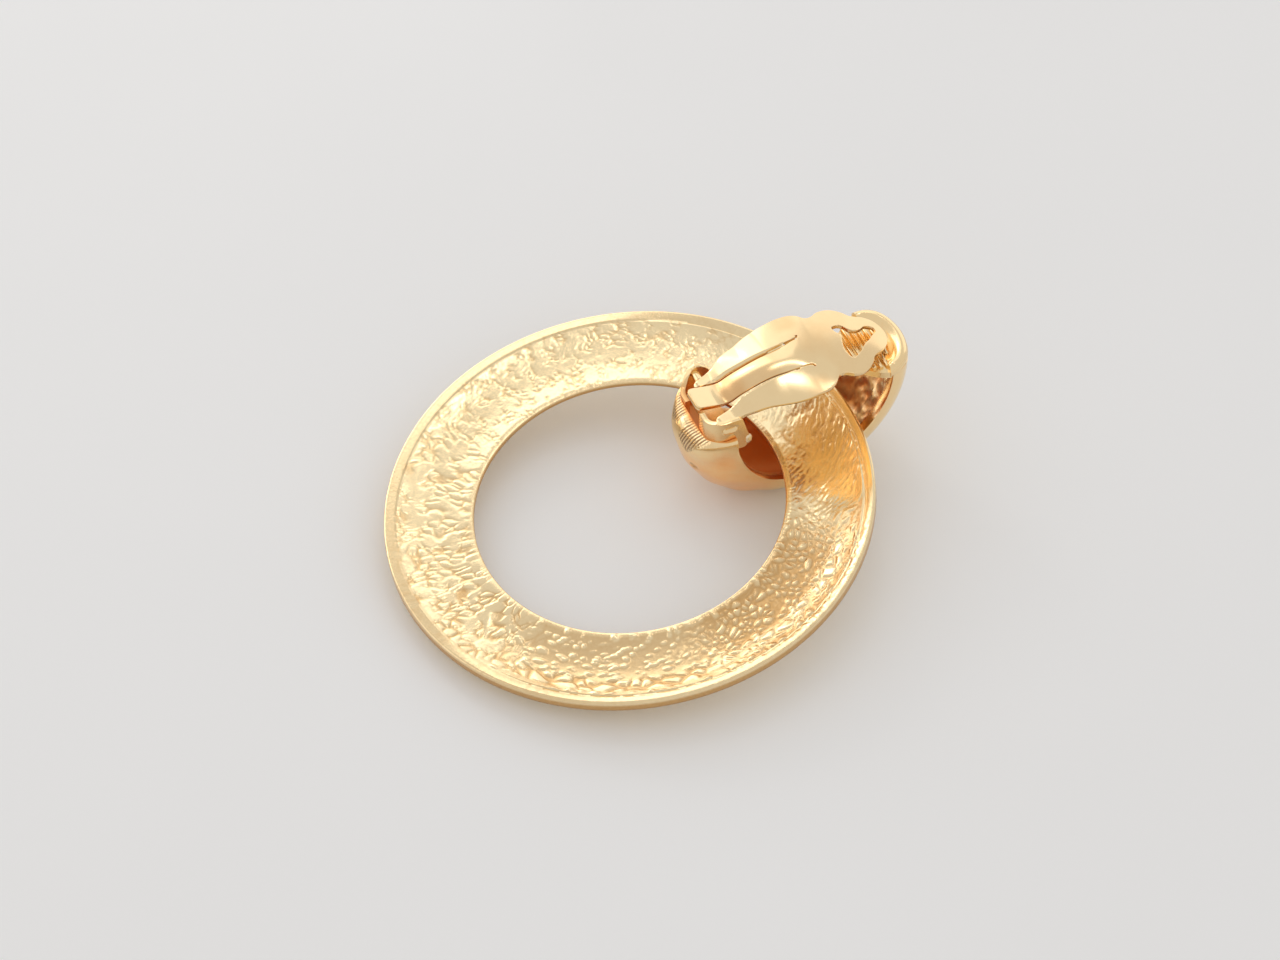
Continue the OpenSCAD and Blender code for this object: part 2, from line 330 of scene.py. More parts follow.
# %% [markdown]
# ## Large hoop, place
# The hoop lies tilted by 7.2 degrees where its low side rests on the table and its high side on
# the half hoop. The tilt is part of the mesh, as in the construction.

# %% Place the large hoop
HOOP_X, HOOP_Y = 2.92, -8.3
HOOP_TILT, HOOP_TURN = math.radians(7.2), math.radians(10)
hoop_z = DOME[2] + BAND_MIDDLE * math.sin(HOOP_TILT) - DOME[1] * math.cos(HOOP_TILT)
place = (
    Matrix.Translation((HOOP_X, HOOP_Y, hoop_z))
    @ Matrix.Rotation(HOOP_TURN, 4, "Z")
    @ Matrix.Rotation(HOOP_TILT, 4, "X")
)
bmesh.ops.transform(hoop, matrix=place, verts=hoop.verts)
large_hoop = finish_piece(hoop, "hoop_casting", "earring", ["large_hoop"], 60)

# %% [markdown]
# ## Sweeping a section
# The half hoop, its lip and the bracket are sections that change along a path. Extruding the edges
# of the last ring and moving the new points to the next section keeps one even skin.


# %% Sweep helper
def sweep(bm, rings, caps=True):
    """Extrudes the first ring through the places of the others. Returns the rows of points."""
    row = [bm.verts.new(p) for p in rings[0]]
    edges = [bm.edges.new(pair) for pair in zip(row, row[1:] + row[:1])]
    rows = [row]
    if caps:
        bm.faces.new(row)
    for ring in rings[1:]:
        order = {v: i for i, v in enumerate(row)}
        made = bmesh.ops.extrude_edge_only(bm, edges=edges)["geom"]
        fresh = {g for g in made if isinstance(g, bmesh.types.BMVert)}
        row = [None] * len(row)
        for v in fresh:
            old = next(e.other_vert(v) for e in v.link_edges if e.other_vert(v) in order)
            row[order[old]] = v
        for v, p in zip(row, ring):
            v.co = p
        edges = [g for g in made if isinstance(g, bmesh.types.BMEdge) and fresh.issuperset(g.verts)]
        rows.append(row)
    if caps:
        bm.faces.new(row)
    return rows


print("sweep helper ready")

# %% [markdown]
# ## Half hoop, section and path
# The half hoop is a hollow casting, open towards the inside of the C. Its crown and its rim are
# two curves from the hinge end over the front to the grip end, and a half oval joins them. Here t
# runs from -1 at the hinge end through 0 at the front to 1 at the grip end.

# %% Half hoop curves
FRONT_Y, LOW_REACH, LOW_RISE, LOW_ANGLE = 9.2, 10.8, 9.6, 102
HIGH_REACH, HIGH_RISE, TIP_H = 14.2, 13.7, 3.1
LEDGE_Z, LEDGE_REACH, CHANNEL_H = 12.0, 6.35, 4.2
RIM_TOP = HIGH_RISE + 0.4
SHELL_HALF, NARROWING, WALL = 5.4, 0.8, 1.1


def crown(t):
    """Line over the outside of the shell, in the middle of its width."""
    if t < 0:
        a = math.radians(t * LOW_ANGLE)
        return Vector((0, FRONT_Y + LOW_REACH * math.sin(a), LOW_RISE * (1 - math.cos(a))))
    a = math.radians(t * 90)
    return Vector((0, FRONT_Y + HIGH_REACH * math.sin(a), HIGH_RISE * (1 - math.cos(a))))


def rim(t):
    """Line of the shell's two rims, seen from the side."""
    a = math.radians(t * 90)
    if t < 0:
        return Vector((0, FRONT_Y + LEDGE_REACH * math.sin(a), LEDGE_Z - (LEDGE_Z - CHANNEL_H) * math.cos(a)))
    reach = HIGH_REACH - TIP_H
    return Vector((0, FRONT_Y + reach * math.sin(a), RIM_TOP - (RIM_TOP - CHANNEL_H) * math.cos(a)))


def dome(t, inset, count, sides=1.0):
    """Points over the half oval at t, set in from the outside; sides weakens that at the flanks."""
    low, rise = rim(t), crown(t) - rim(t)
    w = SHELL_HALF - max(0.0, t) * NARROWING - inset * sides
    h = 1 - inset / rise.length
    full = 0.9 + 0.22 * smoothstep(-0.97, -0.75, t) * (1 - smoothstep(-0.3, 0.1, t))
    points = []
    for j in range(count + 1):
        a = math.pi * j / count
        points.append(low + Vector((w * math.cos(a), 0, 0)) + rise * (h * math.sin(a) ** full))
    return points


print("crown at the hinge end:", [round(x, 2) for x in crown(-1)])

# %% [markdown]
# ## Half hoop, room for the bracket
# The bracket is set in the mouth of the hinge end. Cutting its room out of the finished shell would
# leave a rough edge in the mesh. Instead the points of the inner wall that stand in the way are
# moved to the outline of the bent plate.

# %% Room for the bracket
SEAT_Z, SEAT_END_Y, SEAT_HALF, SEAT_BEND, SEAT_GAP = 10.15, 0.05, 4.5, 2.0, 0.04


def seat_push(p):
    """Moves a point of the inner wall out of the room that the bracket needs."""
    if p.z < SEAT_Z or p.y > 8:
        return p
    x, y = abs(p.x), p.y
    corner_x, corner_y = SEAT_HALF - SEAT_BEND, SEAT_END_Y + SEAT_BEND
    if y > corner_y:
        if SEAT_HALF - 1.6 < x < SEAT_HALF + SEAT_GAP:
            x = SEAT_HALF + SEAT_GAP
    elif x < corner_x:
        if y < SEAT_END_Y + 1.2:
            y = SEAT_END_Y - SEAT_GAP
    else:
        dx, dy = x - corner_x, corner_y - y
        d = math.hypot(dx, dy)
        if 1e-6 < d < SEAT_BEND + SEAT_GAP:
            x = corner_x + dx / d * (SEAT_BEND + SEAT_GAP)
            y = corner_y - dy / d * (SEAT_BEND + SEAT_GAP)
    return Vector((math.copysign(x, p.x), y, p.z))


print("room for the bracket:", 2 * (SEAT_HALF + SEAT_GAP), "mm wide")

# %% [markdown]
# ## Half hoop, shell
# The outer and the inner half oval make one closed section. The end of the wall is rounded over
# towards the bracket: the sections near it shrink as a quarter circle does. Both ends are closed
# by bridging the outer line of points to the inner one.

# %% Half hoop shell
SIDE_POINTS, SHELL_STEPS, END_STEPS = 56, 180, 14
END_ROUND, LOW_LENGTH = 2.3, 17.0
shell = bmesh.new()
hatch, painted_shade, raw = mark(shell, "hatch"), mark(shell, "painted_shade"), mark(shell, "raw")
first_even = -1 + END_ROUND / LOW_LENGTH
stations = [
    -1 + END_ROUND / LOW_LENGTH * (1 - math.cos(math.pi / 2 * k / END_STEPS)) for k in range(END_STEPS)
]
stations += [first_even + (1 - first_even) * i / SHELL_STEPS for i in range(SHELL_STEPS + 1)]
rings = []
for t in stations:
    left = 1 - min(1.0, (t + 1) * LOW_LENGTH / END_ROUND)
    rounded = 0.7 * (1 - math.sqrt(1 - left * left))
    outside = dome(t, rounded, SIDE_POINTS, sides=0.68)
    inside = [seat_push(p) for p in dome(t, WALL, SIDE_POINTS)]
    if t < -0.6:
        inside = [Vector((p.x, max(p.y, q.y + 0.05), p.z)) for p, q in zip(inside, outside)]
    rings.append(outside + inside[::-1])
rows = sweep(shell, rings, caps=False)
for row in (rows[0], rows[-1]):
    loop = [shell.edges.get(pair) for pair in zip(row, row[1:])]
    bmesh.ops.bridge_loops(shell, edges=loop[:SIDE_POINTS] + loop[SIDE_POINTS + 1:])
bmesh.ops.recalc_face_normals(shell, faces=shell.faces)
print("shell points:", len(shell.verts))

# %% [markdown]
# ## Half hoop, outside
# Two fields of fine parallel lines are chased into the outside of the hinge end, with a smooth
# band between them. The fields sink a little below the band. Their lines are too fine for the
# mesh, so a mark on the points tells the finish where they are. The rest of the hinge end is
# slightly uneven, with a soft dent in the flank and one small pit. Shade is painted in as a darker
# tone: towards the bottom of the hinge end, in the dent and in the pit.

# %% Half hoop outside
FIELDS = [
    [(0.55, 12.3), (0.15, 9.9), (1.55, 8.8), (3.75, 11.5), (3.6, 12.3)],
    [(-0.45, 12.3), (-0.75, 10.9), (-2.2, 10.2), (-3.9, 11.2), (-3.9, 12.3)],
]
PIT, DENT = Vector((2.17, -0.75, 6.9)), Vector((4.7, 1.6, 9.2))


def inside_by(points, x, y):
    """How far a place lies inside a convex outline."""
    depth = 1e9
    middle = [sum(p[k] for p in points) / len(points) for k in (0, 1)]
    for (ax, ay), (bx, by) in zip(points, points[1:] + points[:1]):
        nx, ny = by - ay, ax - bx
        side = ((x - ax) * nx + (y - ay) * ny) / math.hypot(nx, ny)
        if ((middle[0] - ax) * nx + (middle[1] - ay) * ny) < 0:
            side = -side
        depth = min(depth, side)
    return depth


def shape_outside(v, t):
    """Chased fields, pit, dent, unevenness and painted shade at a point of the outer skin."""
    if t < -0.4 and v.co.y < 3:
        depth = max(inside_by(f, v.co.x, v.co.z) for f in FIELDS)
        v[hatch] = smoothstep(-0.02, 0.12, depth)
        v.co -= v.normal * (0.12 * v[hatch])
    v.co -= v.normal * (0.3 * (1 - smoothstep(0.1, 0.42, (v.co - PIT).length)))
    dent = math.exp(-((v.co - DENT) / 1.5).length_squared)
    v.co -= v.normal * (0.30 * dent)
    hinge_half = 1 - smoothstep(-0.35, 0.0, t)
    pit = 1 - smoothstep(0.2, 0.5, (v.co - PIT).length)
    # Painted shade: darker towards the bottom of the hinge end, in the dent and in the pit
    v[painted_shade] = max(0.38 * hinge_half * (1 - smoothstep(6.0, 10.5, v.co.z)) + 0.45 * dent, pit)
    v[hatch] = max(v[hatch], pit)
    v.co += v.normal * (0.16 * hinge_half * noise.noise(v.co / 2.4) * (1 - v[hatch]))


count = SIDE_POINTS + 1
for t, row in zip(stations, rows):
    for v in row[:count]:
        shape_outside(v, t)
print("outer skin shaped, points of the fields:", sum(v[hatch] > 0.5 for v in shell.verts))

# %% [markdown]
# ## Half hoop, inside
# Inside the grip end the casting is left rough, with coarse lumps and painted brown shade between
# them. A mark makes the finish matt there. The inside of the front and of the hinge end is smooth
# and painted deep orange, a painted reflection of gold mirroring gold.

# %% Half hoop inside
for t, row in zip(stations, rows):
    for j, v in enumerate(row[count:]):
        to_rim = smoothstep(0, 5, min(j, count - 1 - j))
        rough = smoothstep(0.25, 0.5, t) * to_rim
        lump = noise.noise(v.co / 1.15) + 0.4 * noise.noise(v.co / 0.5)
        v.co += v.normal * (0.25 * rough * lump)
        # Painted reflection and shade: deep orange inside, brown between the lumps
        v[painted_shade] = 1.0 - 0.75 * smoothstep(0.1, 0.4, t) - 0.7 * rough * lump
        v[raw] = 0.5 * rough
print("inner skin shaped, rough points:", sum(v[raw] > 0.25 for v in shell.verts))

# %% [markdown]
# ## Half hoop, softened edges
# The rims are rounded by filing. A narrow bevel with two segments does the same, here and on the
# pieces that follow.


# %% Half hoop edges
def file_edges(bm, edges, width, segments=2, clamp=True):
    bmesh.ops.bevel(
        bm, geom=edges, offset=width, segments=segments, profile=0.5, affect="EDGES",
        clamp_overlap=clamp, material=-1,
    )


rim_edges = []
for j in (0, count - 1, count, 2 * count - 1):
    for a, b in zip(rows, rows[1:]):
        edge = shell.edges.get((a[j], b[j]))
        if edge:
            rim_edges.append(edge)
file_edges(shell, rim_edges, 0.16)
print("edges filed:", len(rim_edges))

# %% [markdown]
# ## Grip end
# A rounded lip runs round the grip end and fades away where it meets the rims. Inside the lip a
# lid slopes down in a bevel and a cove; it covers only the round of the tip and stops at a
# straight edge. The section of both is swept round the oval of the tip.

# %% Lip and lid
RIM_Y = FRONT_Y + HIGH_REACH - TIP_H
TIP_HALF = SHELL_HALF - NARROWING
LIP_TOP, LIP_STEPS = 14.84, 72
# Places of the section are (inwards from the outside, up from the top)
LIP = [
    (0.40, -1.60), (0.16, -1.30), (-0.03, -1.05), (-0.05, -0.62), (0.05, -0.32), (0.26, -0.08),
    (0.52, 0.0), (0.82, -0.05), (1.10, -0.20), (1.38, -0.42), (1.64, -0.58), (1.92, -0.64),
    (2.08, -0.70), (2.14, -0.86), (2.14, -1.60),
]
lip_rings = []
for k in range(LIP_STEPS + 1):
    a = math.radians(-5 + 190 * k / LIP_STEPS)
    inwards = -Vector((math.cos(a) / TIP_HALF, math.sin(a) / TIP_H, 0)).normalized()
    base = Vector((TIP_HALF * math.cos(a), RIM_Y + TIP_H * math.sin(a), 0))
    top = LIP_TOP - 0.20 * (1 - smoothstep(0, 5, k)) - 0.35 * smoothstep(50, LIP_STEPS, k)
    lip_rings.append([base + inwards * w + Vector((0, 0, top + z)) for w, z in LIP])
sweep(shell, lip_rings)
print("lip rings:", len(lip_rings))

# %% [markdown]
# ## Grip pad
# The pad that bears on the lobe is a plate with a row of ridges across it. The plate starts as a
# capped circle, stretched to the outline of the tip, and gets its thickness by extruding.

# %% Pad plate
PAD_TOP, PAD_THICK = 14.0, 0.8
disc = bmesh.ops.create_circle(shell, cap_ends=True, segments=72, radius=1.0)["verts"]
for v in disc:
    c, s = v.co.x, v.co.y
    if s > 0:
        v.co = Vector((3.4 * c, RIM_Y + 1.8 * s, PAD_TOP))
    else:
        v.co = Vector((math.copysign(4.45 * abs(c) ** 1.25, c), RIM_Y - 3.85 * abs(s) ** 1.25, PAD_TOP))
plate_faces = list({f for v in disc for f in v.link_faces})
grown = bmesh.ops.extrude_face_region(shell, geom=plate_faces)["geom"]
bmesh.ops.translate(
    shell, vec=(0, 0, -PAD_THICK), verts=[g for g in grown if isinstance(g, bmesh.types.BMVert)]
)
print("pad plate of", len(disc), "points round")

# %% [markdown]
# ## Grip pad, ridges
# Each ridge is a bar with filed corners, as long as the plate is wide where it lies.


# %% Pad ridges
def block(bm, size, at):
    corners = bmesh.ops.create_cube(bm, size=1.0)["verts"]
    bmesh.ops.scale(bm, vec=size, verts=corners)
    bmesh.ops.translate(bm, vec=at, verts=corners)
    return corners


RIDGES, RIDGE_PITCH, RIDGE_W, RIDGE_H = 7, 0.65, 0.36, 0.55
for i in range(RIDGES):
    y = RIM_Y - 3.42 + i * RIDGE_PITCH
    long, wide = (3.9, 3.65) if y < RIM_Y else (0.96, 2.4)
    half = wide * math.sqrt(1 - ((y - RIM_Y) / long) ** 2)
    bar = block(shell, (2 * half, RIDGE_W, RIDGE_H), (0, y, PAD_TOP + 0.03))
    top_edges = [
        e for e in {e for v in bar for e in v.link_edges}
        if all(v.co.z > PAD_TOP + 0.2 for v in e.verts)
    ]
    file_edges(shell, top_edges, 0.12, segments=3, clamp=False)
half_hoop = finish_piece(shell, "half_hoop_casting", "earring", ["half_hoop"], 45)

# %% [markdown]
# ## Hinge bracket, outlines
# The bracket is bent from plate: each ear wraps round a corner into its half of the end wall. One
# ear is square and one is arched. The square one is lanced over the pivot: a slit above and a
# small lip pushed out below it.

# %% Bracket outlines
PLATE, WALL_Y, BEND, NOTCH_X, EAR_OUT, EAR_RUN = 0.5, 0.05, 2.0, 1.7, 4.5, 2.55
# Places of the outlines are (along the ear, height of its top)
SQUARE_TOP = [
    (-0.2, 13.9), (0.8, 14.3), (2.4, 14.42), (3.3, 14.42), (3.62, 14.2), (4.0, 12.8), (4.6, 10.9),
]
ARCHED_TOP = [
    (-0.2, 12.3), (0.5, 12.45), (0.8, 12.75), (1.1, 13.3), (1.6, 13.95), (2.2, 14.3), (2.8, 14.2),
    (3.35, 13.8), (3.85, 13.1), (4.1, 12.3), (4.2, 11.2),
]


def along(points, x):
    """Height of a line through points, at x."""
    for (ax, ay), (bx, by) in zip(points, points[1:]):
        if x <= bx:
            k = min(1.0, max(0.0, (x - ax) / (bx - ax)))
            return ay + (by - ay) * k
    return points[-1][1]


def plate_path(step):
    """Places along the outside of the bent plate, each with its outward direction."""
    places = []
    bend_x = EAR_OUT - BEND
    flat, bend_len = bend_x - NOTCH_X, BEND * math.pi / 2
    total = flat + bend_len + EAR_RUN
    n = round(total / step)
    for i in range(n + 1):
        s = total * i / n
        if s < flat:
            places.append((NOTCH_X + s, WALL_Y, 0, -1))
        elif s < flat + bend_len:
            a = (s - flat) / BEND
            c, d = math.cos(a), math.sin(a)
            places.append((bend_x + BEND * d, WALL_Y + BEND - BEND * c, d, -c))
        else:
            places.append((EAR_OUT, WALL_Y + BEND + s - flat - bend_len, 1, 0))
    return places


def lanced(y, z):
    """How far the outer face of the lanced ear stands out at a place, in mm."""
    along_slot = 1 - smoothstep(0.5, 0.85, abs(y - 2.2))
    lip = math.exp(-((z - 13.18) / 0.17) ** 2)
    slit = math.exp(-((z - 13.52) / 0.11) ** 2)
    return along_slot * (0.22 * lip - 0.30 * slit)


print("places along the bent plate:", len(plate_path(0.1)))

# %% [markdown]
# ## Hinge bracket, ears
# A box cut to shape would not show the bend, so the section of the plate, from its foot up to its
# outline, is swept along the bend, and a fine bevel breaks the sharp edges.


# %% Bracket ears
def sharp_edges(bm, angle):
    """Edges that are bent by more than an angle, in radians."""
    return [e for e in bm.edges if len(e.link_faces) == 2 and e.calc_face_angle(0) > angle]


FOOT_Z, EAR_ROWS = 10.2, 40
bracket = bmesh.new()
for side, top_line in ((1, SQUARE_TOP), (-1, ARCHED_TOP)):
    sections = []
    for x, y, nx, ny in plate_path(0.1):
        foot = FOOT_Z if y < 3.8 else FOOT_Z + 0.7 * (y - 3.8) / 0.8
        top = max(along(top_line, y), foot + 0.05)
        outer, inner = [], []
        for k in range(EAR_ROWS + 1):
            z = foot + (top - foot) * k / EAR_ROWS
            push = lanced(y, z) if side > 0 and y > 1.2 else 0.0
            outer.append(Vector((side * (x + nx * push), y + ny * push, z)))
            inner.append(Vector((side * (x - nx * PLATE), y - ny * PLATE, z)))
        sections.append(outer + inner[::-1])
    sweep(bracket, sections)
bmesh.ops.recalc_face_normals(bracket, faces=bracket.faces)
file_edges(bracket, sharp_edges(bracket, 1.0), 0.09)
print("bent plate points:", len(bracket.verts))

# %% [markdown]
# ## Hinge bracket, floor
# A floor joins the ears: two boxes that meet but don't overlap, so that no two faces lie in one
# plane. Shade is painted on the bracket: darker towards the floor, most of all between its ears.

# %% Bracket floor
block(bracket, (8.2, 2.5, 0.5), (0, 2.45, 10.45))
block(bracket, (4.8, 1.12, 0.5), (0, 0.62, 10.45))
painted_shade = mark(bracket, "painted_shade")
for v in bracket.verts:
    between = 1 - smoothstep(3.9, 4.1, abs(v.co.x))
    low_between = between * (1 - smoothstep(10.7, 13.4, v.co.z))
    # Painted shade: darker towards the floor, most of all between the ears
    v[painted_shade] = 0.9 * low_between + 0.45 * (1 - smoothstep(10.8, 14.0, v.co.z))
hinge_bracket = finish_piece(bracket, "bent_bracket", "earring", ["hinge_bracket"], 40)

# %% [markdown]
# ## Solder bead
# The bracket is soldered into the half hoop, and a small bead of solder stands where the outer
# ear meets the wall. It is a sphere stretched along the joint and made uneven by noise.

# %% Solder bead
bead = bmesh.new()
bmesh.ops.create_uvsphere(bead, u_segments=24, v_segments=16, radius=0.5)
bmesh.ops.scale(bead, vec=(0.55, 0.9, 1.25), verts=bead.verts)
bmesh.ops.translate(bead, vec=(4.42, 4.25, 11.2), verts=bead.verts)
for v in bead.verts:
    v.co += v.normal * 0.05 * noise.noise(v.co * 2.3)
solder_bead = finish_piece(bead, "solder_bead", "earring")

# %% [markdown]
# ## Clip paddle, outline
# The paddle is stamped from sprung plate: a spring tongue between two slots, two arms, a blade and
# a three-lobed head with a hole of the same kind. Such an outline has no simple formula, so it is
# a list of places, smoothed by a curve through them. One half is mirrored; only the far slot and
# arm differ, because that slot stays narrow down to the hinge.


# %% Paddle outline
def curve_through(points, steps=6, closed=True):
    """A smooth line through the given places."""
    n = len(points)
    line = []
    for i in range(n if closed else n - 1):
        near = [i - 1, i, i + 1, i + 2]
        near = [k % n if closed else max(0, min(n - 1, k)) for k in near]
        a, b, c, d = (Vector(points[k]) for k in near)
        for s in range(steps):
            x = s / steps
            line.append(0.5 * (
                2 * b + (c - a) * x + (2 * a - 5 * b + 4 * c - d) * x * x
                + (3 * b - a - 3 * c + d) * x * x * x))
    return line


# Places are (along the paddle, across it): the tongue and its slot, the arm, the blade, the head
HALF = [
    (0.0, 0.6), (0.04, 1.05), (0.32, 1.38), (1.2, 1.42), (3.0, 1.40), (5.4, 1.42), (8.0, 1.46),
    (10.0, 1.60), (11.4, 1.74), (12.25, 1.84), (12.55, 1.98), (12.72, 2.28), (12.52, 2.34),
    (12.36, 2.10), (11.9, 1.98), (10.0, 1.82), (8.0, 1.68),
    (6.4, 1.66), (5.4, 1.74), (4.5, 1.96), (3.5, 2.26), (2.5, 2.58), (1.75, 2.80), (1.36, 3.00),
    (1.26, 3.28), (1.42, 3.58), (1.9, 3.76), (2.8, 3.82), (3.8, 3.88), (4.4, 4.02), (5.0, 4.2),
    (6.5, 4.45), (7.9, 4.95), (9.6, 5.4), (11.4, 5.6), (12.8, 5.45), (13.7, 5.0),
    (14.3, 4.36), (14.8, 4.18), (15.3, 4.3), (15.9, 4.62), (16.8, 4.7), (17.6, 4.45), (18.4, 3.75),
    (18.85, 3.1), (19.4, 2.75), (20.2, 2.4), (20.9, 1.75), (21.3, 0.9),
]
# The far slot and arm, in place of those of HALF from 6.4 to 5.0
FAR_ARM = [
    (6.4, 1.64), (5.4, 1.61), (4.5, 1.61), (3.5, 1.62), (2.5, 1.66), (1.75, 1.74), (1.36, 1.86),
    (1.2, 2.10), (1.34, 2.36), (1.9, 2.62), (2.8, 2.98), (3.8, 3.42), (4.4, 3.76), (5.0, 4.08),
]
HEAD_END = (21.45, 0.0)
HOLE = [
    (16.4, -1.96), (17.0, -2.1), (17.5, -1.8), (17.85, -1.2), (18.35, -0.8), (18.95, -0.76),
    (19.6, -1.1), (20.2, -1.0), (20.56, -0.66), (20.5, -0.1), (20.0, 0.27), (19.4, 0.8),
    (18.7, 1.24), (17.9, 2.0), (16.9, 2.63), (16.5, 2.28), (16.35, 1.29), (16.6, 0.15),
    (16.87, -0.65), (16.5, -1.3),
]
arm_start = HALF.index((6.4, 1.66))
far_half = HALF[:arm_start] + FAR_ARM + HALF[arm_start + len(FAR_ARM):]
around = HALF + [HEAD_END] + [(y, -x) for y, x in reversed(far_half)]
outline = [(p[1], p[0]) for p in curve_through(around)]
hole = [(p[1], p[0]) for p in curve_through(HOLE)]
print("outline places:", len(outline), "and hole:", len(hole))

# %% [markdown]
# ## Clip paddle, side view
# The leaf is bent along its length by its side view and across it by a crown that is strongest
# over the shoulders. The tongue is slightly domed, so its edges lie a little below those of the
# arms. The ends of the arms are flat and roll down over the pivots.

# %% Paddle side view
# Places are (along the paddle, height)
LEAF_SIDE = [
    (-1.0, 14.62), (0.0, 14.5), (1.5, 14.2), (2.5, 14.02), (3.5, 14.14), (5.0, 14.92), (8.0, 15.9),
    (11.0, 16.25), (13.5, 16.22), (16.0, 16.08), (18.0, 15.92), (19.5, 15.7), (20.7, 15.4), (22.5, 14.8),
]
side_line = [(p[0], p[1]) for p in curve_through(LEAF_SIDE, 8, closed=False)] + LEAF_SIDE[-1:]
# Places are (along the paddle, how far its edges drop below its middle)
CROWN = [
    (0, 0.0), (3, 0.1), (5, 0.5), (6.5, 0.8), (9, 0.8), (12, 0.5), (14, 0.2), (16, 0.3), (19, 0.5),
    (22, 0.5),
]
ARM_Z, ARM_DROP, ROLL_START, ROLL_LENGTH = 13.97, 0.55, 1.75, 0.6


def leaf_height(x, y):
    """Height of the upper face of the leaf at a place."""
    z = along(side_line, y) - along(CROWN, y) * (x / 5.3) ** 2
    if abs(x) < 1.9:
        z -= 0.22 * (x / 1.5) ** 2 * smoothstep(1.8, 4.5, y) * (1 - smoothstep(9.5, 12.8, y))
    arm = smoothstep(1.5, 1.8, abs(x)) * (1 - smoothstep(2.4, 3.6, y))
    rolled = max(0.0, ROLL_START - y) ** 2 / ROLL_LENGTH**2
    flat = ARM_Z - ARM_DROP * (1 - math.sqrt(max(0.0, 1 - rolled)))
    return z * (1 - arm) + flat * arm


print("highest place of the leaf:", round(max(z for _, z in side_line), 2), "mm")

# %% [markdown]
# ## Clip paddle, sheet
# The outline could be filled with one many-sided face, but that can't be bent. So a fine grid is
# laid over it, what lies outside is deleted, and the points left at the border slide onto the line.


# %% Paddle sheet
def is_inside(loop, x, y):
    found = False
    for (ax, ay), (bx, by) in zip(loop, loop[1:] + loop[:1]):
        if (ay > y) != (by > y) and x < (bx - ax) * (y - ay) / (by - ay) + ax:
            found = not found
    return found


def nearest(loops, x, y):
    """The place on any of the closed lines that is nearest."""
    best, at = 1e9, (x, y)
    for loop in loops:
        for (ax, ay), (bx, by) in zip(loop, loop[1:] + loop[:1]):
            dx, dy = bx - ax, by - ay
            k = min(1.0, max(0.0, ((x - ax) * dx + (y - ay) * dy) / (dx * dx + dy * dy + 1e-12)))
            px, py = ax + k * dx, ay + k * dy
            d = (px - x) ** 2 + (py - y) ** 2
            if d < best:
                best, at = d, (px, py)
    return at


GRID = 0.125
across, lengthwise = round(11.6 / GRID), round(21.9 / GRID)
leaf = bmesh.new()
bmesh.ops.create_grid(leaf, x_segments=across, y_segments=lengthwise, size=0.5)
bmesh.ops.scale(leaf, vec=(across * GRID, lengthwise * GRID, 1), verts=leaf.verts)
bmesh.ops.translate(leaf, vec=(0, 10.75, 0), verts=leaf.verts)
outside = []
for f in leaf.faces:
    c = f.calc_center_median()
    if not is_inside(outline, c.x, c.y) or is_inside(hole, c.x, c.y):
        outside.append(f)
bmesh.ops.delete(leaf, geom=outside, context="FACES")
border = [v for v in leaf.verts if v.is_boundary]
for v in border:
    v.co.x, v.co.y = nearest((outline, hole), v.co.x, v.co.y)
bmesh.ops.remove_doubles(leaf, verts=leaf.verts, dist=0.02)
within = [v for v in leaf.verts if not v.is_boundary]
bmesh.ops.smooth_vert(leaf, verts=within, factor=0.5, use_axis_x=True, use_axis_y=True, use_axis_z=False)
print("sheet points:", len(leaf.verts), "border points:", len(border))

# %% [markdown]
# ## Clip paddle, bending and thickness
# Each point rises to the side view. Solidify makes the sheet 0.42 mm thick, below the face that
# shows, and a fine bevel breaks its edges.

# %% Bend and thicken the paddle
LEAF_THICK = 0.42
for v in leaf.verts:
    v.co.z = leaf_height(v.co.x, v.co.y)
bmesh.ops.recalc_face_normals(leaf, faces=leaf.faces)
if sum(f.normal.z for f in leaf.faces) < 0:
    bmesh.ops.reverse_faces(leaf, faces=leaf.faces)
bmesh.ops.solidify(leaf, geom=leaf.faces[:], thickness=LEAF_THICK)
bmesh.ops.recalc_face_normals(leaf, faces=leaf.faces)
sharp = sharp_edges(leaf, 1.1)
file_edges(leaf, sharp, 0.07)
print("edges broken:", len(sharp))

# %% [markdown]
# ## Clip paddle, tone and pivots
# Where the polished leaf dips, it mirrors itself and looks deeper in tone, so a painted reflection
# deepens the tone: on the tongue, behind the shoulders, on the far arm, the neck and a little on the
# whole head. A mark tells the finish so.
# Studs at the ends of the arms stand for the pivots that turn in the ears.

# %% Paddle tone and pivots
PIVOT_Y, PIVOT_Z = 2.15, 13.4
painted_shade = mark(leaf, "painted_shade")
for v in leaf.verts:
    x, y = v.co.x, v.co.y
    tongue = smoothstep(2.4, 3.4, y) * (1 - 0.5 * smoothstep(4.8, 6.0, y)) * (1 - smoothstep(8.5, 10.5, y))
    shoulder = smoothstep(3.0, 4.2, abs(x)) * smoothstep(10.0, 11.5, y) * (1 - smoothstep(12.5, 14.0, y))
    far_arm = smoothstep(-2.2, -3.0, x) * (1 - smoothstep(6.5, 7.5, y))
    neck = math.exp(-((x + 1.5) ** 2 + (y - 13.5) ** 2) / 6)
    head = smoothstep(13.5, 15.0, y)
    # Painted reflection: a deeper tone where the leaf dips
    v[painted_shade] = 0.6 * tongue * (abs(x) < 1.75) + 0.25 * shoulder + 0.2 * far_arm + 0.25 * neck
    v[painted_shade] += 0.12 * head
# Each stud is (place across the paddle, radius, length)
for side in (-1, 1):
    for place_x, radius, length in ((3.35, 0.42, 1.0), (3.9, 0.35, 0.95)):
        at = Matrix.Translation((side * place_x, PIVOT_Y, PIVOT_Z)) @ Matrix.Rotation(math.pi / 2, 4, "Y")
        bmesh.ops.create_cone(
            leaf, cap_ends=True, segments=32, radius1=radius, radius2=radius, depth=length, matrix=at
        )
clip_paddle = finish_piece(leaf, "clip_leaf", "clip", ["clip_paddle"], 40)
